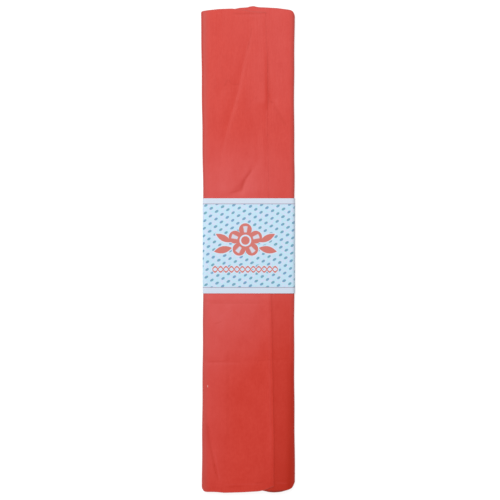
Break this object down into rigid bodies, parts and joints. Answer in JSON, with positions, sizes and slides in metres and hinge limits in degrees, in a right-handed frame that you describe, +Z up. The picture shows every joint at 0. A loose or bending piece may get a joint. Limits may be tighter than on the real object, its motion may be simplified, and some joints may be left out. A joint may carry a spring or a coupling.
{
  "type": "crepe paper pack",
  "caption": "Flat folded pack of coral-red crepe paper held round its middle by a printed paper band that slides off either end.",
  "frame": {"origin": "middle of the underside, on the plane that the band's flat underside lies in", "axes": "+X across the pack towards the side where the sheet's outer free edge lies on top, +Y along the pack towards the end that the band is set nearer to, +Z up through the leaves to the face with the printed motif"},
  "size_m": [0.0954, 0.5, 0.0078],
  "materials": {
    "crepe_paper": "matte",
    "printed_paper": "satin",
    "paper_glue": "gloss"
  },
  "bodies": {
    "pack": {"crepe_paper_sheet": "crepe_paper"},
    "band": {"label_band": "printed_paper", "band_glue_strip": "paper_glue"}
  },
  "joints": [
    {"name": "band_slide", "type": "slide", "parent": "pack", "child": "band", "axis": [0, 1, 0], "range_m": [-0.315, 0.307]}
  ]
}
